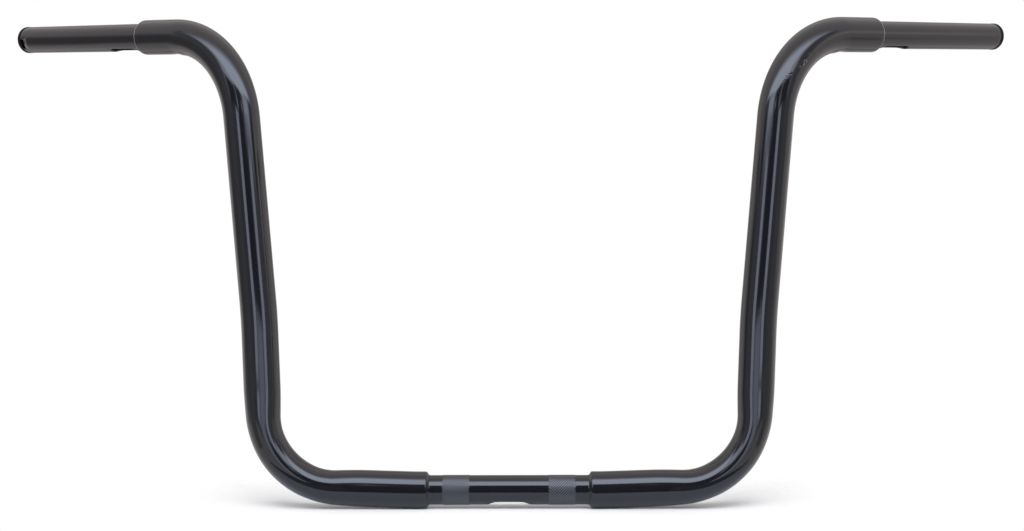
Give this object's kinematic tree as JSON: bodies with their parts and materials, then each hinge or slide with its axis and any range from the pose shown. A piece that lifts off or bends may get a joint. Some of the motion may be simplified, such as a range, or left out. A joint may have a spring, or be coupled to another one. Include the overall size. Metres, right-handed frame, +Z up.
{
  "type": "motorcycle handlebar",
  "caption": "Tall ape-hanger motorcycle handlebar: a bent black steel tube swaged down at its knurled clamp section and pulled-back grips, with wiring slots and end plugs.",
  "frame": {"origin": "on the tube axis at the middle of the clamp section", "axes": "+X along the clamp section towards the clutch end, +Y back towards the rider, +Z up along the legs"},
  "size_m": [0.9704, 0.1853, 0.4553],
  "materials": {
    "black_paint": "gloss black powder coat over steel",
    "black_plastic": "moulded black plastic"
  },
  "bodies": {
    "root": {"handlebar": "black_paint", "throttle_end_plug": "black_plastic", "clutch_end_plug": "black_plastic"}
  },
  "joints": []
}
